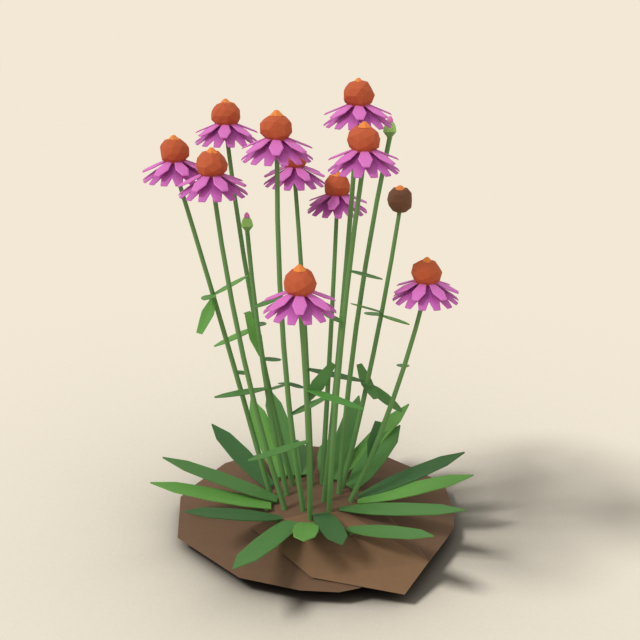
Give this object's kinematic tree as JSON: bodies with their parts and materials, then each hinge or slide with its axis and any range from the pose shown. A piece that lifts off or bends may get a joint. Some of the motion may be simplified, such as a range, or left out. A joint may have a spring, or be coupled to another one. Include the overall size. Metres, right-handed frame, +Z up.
{
  "type": "purple coneflower plant",
  "caption": "Clump of purple coneflower in a low soil mound: leafy upright stems carry drooping pink ray flowers round orange cones, buds and a seed head over a leaf rosette",
  "frame": {"origin": "centre of the soil mound's flat underside, on the surface it rests on", "axes": "+Z up along the stems, +X to the right and -Y to the front as the plant is seen in its picture"},
  "size_m": [0.4575, 0.4375, 0.6325],
  "materials": {
    "soil": "matt dry soil with flat cut facets",
    "stem": "matt green stem",
    "leaf": "matt green leaf with a creased midrib",
    "petal": "matt pink petal",
    "cone": "matt orange-brown faceted cone",
    "cap": "matt bright orange",
    "seed_head": "matt dry brown",
    "bud_tip": "matt pink petal tip"
  },
  "bodies": {
    "root": {"soil_mound": "soil", "flower_stem_01": "stem", "rays_01": "petal", "cone_01": "cone", "cone_cap_01": "cap", "flower_stem_02": "stem", "rays_02": "petal", "cone_02": "cone", "cone_cap_02": "cap", "flower_stem_03": "stem", "rays_03": "petal", "cone_03": "cone", "cone_cap_03": "cap", "flower_stem_04": "stem", "rays_04": "petal", "cone_04": "cone", "cone_cap_04": "cap", "flower_stem_05": "stem", "rays_05": "petal", "cone_05": "cone", "cone_cap_05": "cap", "flower_stem_06": "stem", "rays_06": "petal", "cone_06": "cone", "cone_cap_06": "cap", "flower_stem_07": "stem", "rays_07": "petal", "cone_07": "cone", "cone_cap_07": "cap", "flower_stem_08": "stem", "rays_08": "petal", "cone_08": "cone", "cone_cap_08": "cap", "flower_stem_09": "stem", "rays_09": "petal", "cone_09": "cone", "cone_cap_09": "cap", "flower_stem_10": "stem", "rays_10": "petal", "cone_10": "cone", "cone_cap_10": "cap", "bud_stem_1": "stem", "bud_tip_1": "bud_tip", "bud_stem_2": "stem", "bud_tip_2": "bud_tip", "seed_stem": "stem", "seed_cone": "seed_head", "seed_cap": "cap", "basal_leaves_01": "leaf", "basal_leaves_02": "leaf", "basal_leaves_03": "leaf", "basal_leaves_04": "leaf", "basal_leaves_05": "leaf", "basal_leaves_06": "leaf", "basal_leaves_07": "leaf", "basal_leaves_08": "leaf", "basal_leaves_09": "leaf", "basal_leaves_10": "leaf", "basal_leaves_11": "leaf", "basal_leaves_12": "leaf"}
  },
  "joints": []
}
